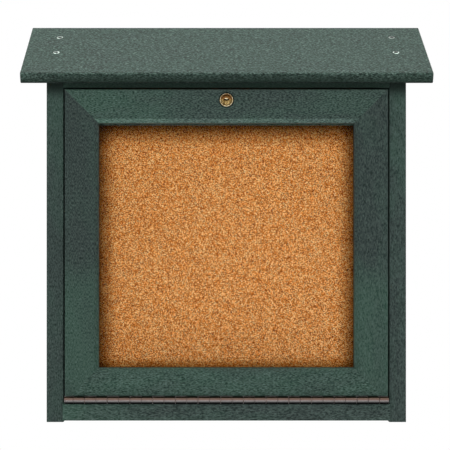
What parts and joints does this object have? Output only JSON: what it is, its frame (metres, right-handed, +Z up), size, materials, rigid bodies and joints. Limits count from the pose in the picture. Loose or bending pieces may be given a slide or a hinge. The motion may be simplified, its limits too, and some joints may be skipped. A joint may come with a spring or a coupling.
{
  "type": "lockable notice board",
  "caption": "Wall-hung notice case of recycled plastic boards with a sloped roof, a cork sheet inside and a windowed door that is hinged along its bottom and has a cam lock.",
  "frame": {"origin": "middle of the four wall-fixing holes, on the plane of the wall behind the case", "axes": "+X to the right seen from the front, +Y back into the wall, +Z up"},
  "size_m": [0.4572, 0.1262, 0.4582],
  "materials": {
    "recycled_plastic": "dark green plastic board with faint lengthwise streaks",
    "cork": "fine granular cork",
    "clear_window": "clear polished polycarbonate",
    "foam_rubber": "closed-cell black foam",
    "hinge_steel": "dull weathered stainless steel",
    "screw_steel": "stainless steel",
    "plated_steel": "zinc-plated steel",
    "lock_brass": "polished brass, a little worn"
  },
  "bodies": {
    "case": {"left_side_board": "recycled_plastic", "right_side_board": "recycled_plastic", "bottom_board": "recycled_plastic", "top_board": "recycled_plastic", "lower_hanging_rail": "recycled_plastic", "upper_hanging_rail": "recycled_plastic", "back_panel": "recycled_plastic", "cork_sheet": "cork", "left_door_stop": "recycled_plastic", "right_door_stop": "recycled_plastic", "left_seal_strip": "foam_rubber", "right_seal_strip": "foam_rubber", "roof_board": "recycled_plastic", "strike_plate": "plated_steel", "roof_screws": "screw_steel", "bottom_board_screws": "screw_steel", "top_board_screws": "screw_steel", "hanging_rail_screws": "screw_steel", "door_stop_screws": "screw_steel", "back_panel_screws": "screw_steel", "strike_screws": "screw_steel", "hinge_fixed_leaf": "hinge_steel", "hinge_fixed_screws": "screw_steel", "hinge_pin": "hinge_steel"},
    "door": {"door_top_rail": "recycled_plastic", "door_bottom_rail": "recycled_plastic", "door_left_stile": "recycled_plastic", "door_right_stile": "recycled_plastic", "door_corner_screws": "screw_steel", "window_sheet": "clear_window", "left_window_strip": "recycled_plastic", "right_window_strip": "recycled_plastic", "bottom_window_strip": "recycled_plastic", "top_window_strip": "recycled_plastic", "window_strip_rail_screws": "screw_steel", "window_strip_stile_screws": "screw_steel", "hinge_door_leaf": "hinge_steel", "hinge_door_screws": "screw_steel", "lock_body": "lock_brass", "lock_washer": "plated_steel", "lock_nut": "plated_steel"},
    "lock_core": {"lock_plug": "lock_brass", "lock_cam": "plated_steel", "cam_screw": "screw_steel"}
  },
  "joints": [
    {"name": "door_hinge", "type": "hinge", "parent": "case", "child": "door", "pos_m": [0, -0.10273, -0.1737], "axis": [1, 0, 0], "range_deg": [0, 180]},
    {"name": "lock_turn", "type": "hinge", "parent": "door", "child": "lock_core", "pos_m": [0, -0.0984, 0.16333], "axis": [0, -1, 0], "range_deg": [0, 90]}
  ]
}
